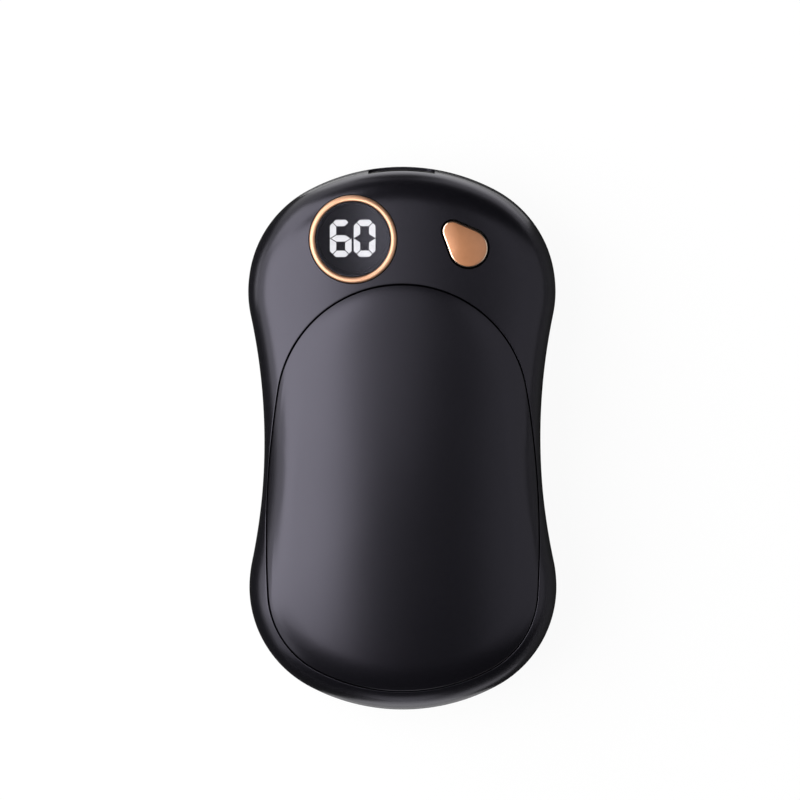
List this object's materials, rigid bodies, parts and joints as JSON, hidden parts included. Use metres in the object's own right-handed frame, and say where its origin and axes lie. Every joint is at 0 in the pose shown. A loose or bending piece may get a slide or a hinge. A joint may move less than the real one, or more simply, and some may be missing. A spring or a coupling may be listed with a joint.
{
  "type": "rechargeable hand warmer",
  "caption": "Palm-sized waisted pebble that warms both hands through metal panels, with a round temperature display, a droplet button and a charging socket in its end.",
  "frame": {"origin": "middle of the flat on the back plate that the part rests on", "axes": "+Z out of the front face with the display, +Y towards the charging port end, +X to the right seen from the front"},
  "size_m": [0.059, 0.104, 0.025],
  "materials": {
    "shell_plastic": "satin soft-touch black",
    "plate_coating": "satin black coated aluminium sheet",
    "bond": "acrylic bonding tape",
    "heater_film": "amber polyimide film",
    "foam": "closed-cell silicone foam",
    "rose_gold": "rose-gold plated, polished satin",
    "smoked_lens": "smoked, dished window",
    "black_moulding": "black moulded",
    "lit_diffuser": "white diffuser, lit",
    "dark_diffuser": "white diffuser, unlit",
    "led_package": "white package",
    "steel": "bright stamped",
    "solder_mask": "green solder mask",
    "gloss_black": "gloss black",
    "gilt": "gold flash",
    "chip_epoxy": "black epoxy",
    "ferrite": "ferrite grey",
    "capacitor_ceramic": "tan ceramic",
    "cell_foil": "laminated foil pouch",
    "nickel": "nickel strip",
    "red_lead": "silicone insulation",
    "black_lead": "silicone insulation",
    "white_lead": "silicone insulation",
    "bead_glass": "glazed bead",
    "screw_steel": "black oxide"
  },
  "bodies": {
    "case": {"front_shell": "shell_plastic", "back_shell": "shell_plastic", "front_heat_plate": "plate_coating", "back_heat_plate": "plate_coating", "front_plate_adhesive": "bond", "back_plate_adhesive": "bond", "front_heater_film": "heater_film", "back_heater_film": "heater_film", "front_insulation_pad": "foam", "back_insulation_pad": "foam", "display_bezel": "rose_gold", "display_lens": "smoked_lens", "display_reflector": "black_moulding", "lit_segments": "lit_diffuser", "unlit_segments": "dark_diffuser", "segment_leds": "led_package", "switch_base": "black_moulding", "switch_cover": "steel", "switch_dome": "steel", "switch_terminals": "steel", "main_board": "solder_mask", "port_bezel": "gloss_black", "usb_shell": "steel", "usb_tongue": "black_moulding", "usb_contacts": "gilt", "charge_controller": "chip_epoxy", "boost_inductor": "ferrite", "heater_transistors": "chip_epoxy", "board_capacitors": "capacitor_ceramic", "battery_cell": "cell_foil", "battery_tabs": "nickel", "battery_protection_board": "solder_mask", "battery_lead_positive": "red_lead", "battery_lead_negative": "black_lead", "front_heater_leads": "white_lead", "back_heater_leads": "white_lead", "front_thermistor": "bead_glass", "back_thermistor": "bead_glass", "front_thermistor_leads": "black_lead", "back_thermistor_leads": "black_lead", "shell_screws": "screw_steel", "board_screws": "screw_steel"},
    "button": {"button_cap": "rose_gold"},
    "plunger": {"switch_plunger": "black_moulding"}
  },
  "joints": [
    {"name": "button_press", "type": "slide", "parent": "case", "child": "button", "axis": [0, 0, -1], "range_m": [0, 0.0004], "stiffness_N_per_m": 2500},
    {"name": "plunger_press", "type": "slide", "parent": "case", "child": "plunger", "axis": [0, 0, -1], "range_m": [0, 0.0004], "deforming": ["switch_dome"]}
  ],
  "couplings": [
    {"joint": "plunger_press", "follows": "button_press", "ratio": 1}
  ]
}
